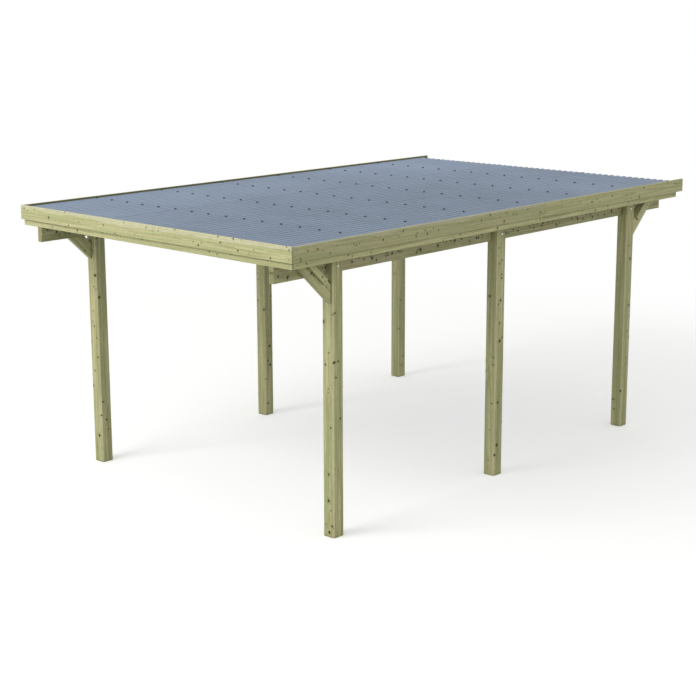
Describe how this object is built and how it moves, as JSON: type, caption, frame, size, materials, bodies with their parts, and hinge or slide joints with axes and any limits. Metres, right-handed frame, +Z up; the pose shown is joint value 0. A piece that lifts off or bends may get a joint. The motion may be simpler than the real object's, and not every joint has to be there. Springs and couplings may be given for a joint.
{
  "type": "single open timber carport",
  "caption": "Open timber carport: square posts with knee braces carry beams, rafters and a corrugated roof in a fascia rim.",
  "frame": {"origin": "on the ground, under the middle of the roof's outline", "axes": "+Z up, +Y along the length from the front fascia to the open rear edge of the roof, +X across the width"},
  "size_m": [3.237, 5.38, 2.365],
  "materials": {
    "post_timber": "planed, pressure treated pine",
    "beam_timber": "planed, pressure treated pine",
    "rafter_timber": "sawn, pressure treated pine",
    "fascia_timber": "planed, pressure treated pine",
    "lower_board_timber": "planed, pressure treated pine",
    "brace_timber": "planed, pressure treated pine",
    "bolt_steel": "bright zinc plated",
    "roof_sheet": "smooth, satin"
  },
  "bodies": {
    "root": {"post_front_left": "post_timber", "post_middle_left": "post_timber", "post_rear_left": "post_timber", "post_front_right": "post_timber", "post_middle_right": "post_timber", "post_rear_right": "post_timber", "beam_left": "beam_timber", "beam_right": "beam_timber", "rafter_1": "rafter_timber", "rafter_2": "rafter_timber", "rafter_3": "rafter_timber", "rafter_4": "rafter_timber", "rafter_5": "rafter_timber", "rafter_6": "rafter_timber", "rafter_7": "rafter_timber", "rafter_8": "rafter_timber", "fascia_front": "fascia_timber", "lower_board_front": "lower_board_timber", "fascia_left_front": "fascia_timber", "lower_board_left_front": "lower_board_timber", "fascia_left_rear": "fascia_timber", "lower_board_left_rear": "lower_board_timber", "fascia_right_front": "fascia_timber", "lower_board_right_front": "lower_board_timber", "fascia_right_rear": "fascia_timber", "lower_board_right_rear": "lower_board_timber", "brace_front_left": "brace_timber", "brace_batten_front_left": "brace_timber", "brace_rear_left": "brace_timber", "brace_batten_rear_left": "brace_timber", "brace_front_right": "brace_timber", "brace_batten_front_right": "brace_timber", "brace_rear_right": "brace_timber", "brace_batten_rear_right": "brace_timber", "bolt_front_left": "bolt_steel", "bolt_middle_left": "bolt_steel", "bolt_rear_left": "bolt_steel", "bolt_front_right": "bolt_steel", "bolt_middle_right": "bolt_steel", "bolt_rear_right": "bolt_steel", "roof_sheet_left": "roof_sheet", "roof_sheet_middle": "roof_sheet", "roof_sheet_right": "roof_sheet"}
  },
  "joints": []
}
